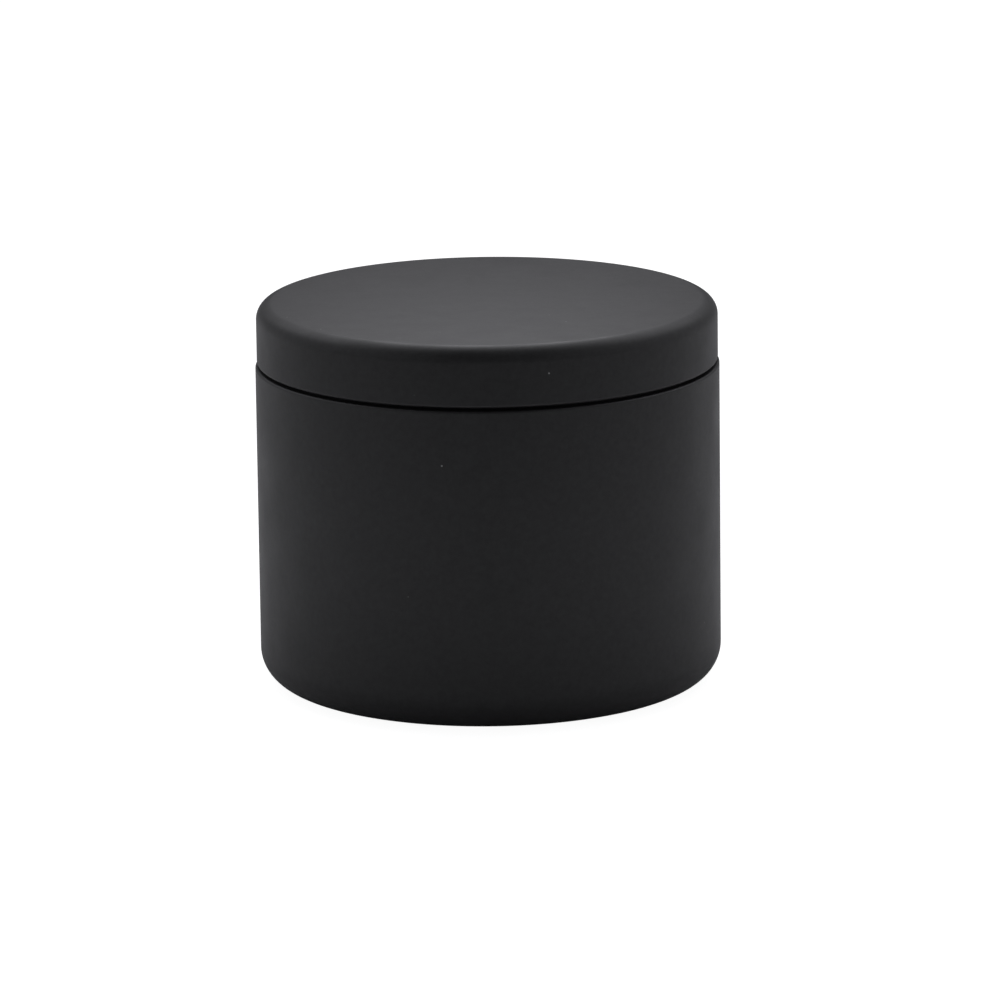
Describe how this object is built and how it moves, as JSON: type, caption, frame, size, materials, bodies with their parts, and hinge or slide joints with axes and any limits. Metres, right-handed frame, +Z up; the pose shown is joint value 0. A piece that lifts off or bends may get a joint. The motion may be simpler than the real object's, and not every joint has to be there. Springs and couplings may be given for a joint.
{
  "type": "candle tin",
  "caption": "Round seamless tinplate candle tin with a matte black coating and a flush slip-on lid that lifts off a rolled rim.",
  "frame": {"origin": "centre of the ring the tin stands on", "axes": "+Z up the axis of the tin; X and Y are any two directions across it, because the tin is round"},
  "size_m": [0.077, 0.077, 0.0641],
  "materials": {
    "tin_body": "matte black outside, bare tinplate inside",
    "lid": "matte black outside, bare tinplate inside"
  },
  "bodies": {
    "tin": {"tin_body": "tin_body"},
    "lid": {"lid": "lid"}
  },
  "joints": [
    {"name": "lid_lift", "type": "slide", "parent": "tin", "child": "lid", "axis": [0, 0, 1], "range_m": [0, 0.06]}
  ]
}
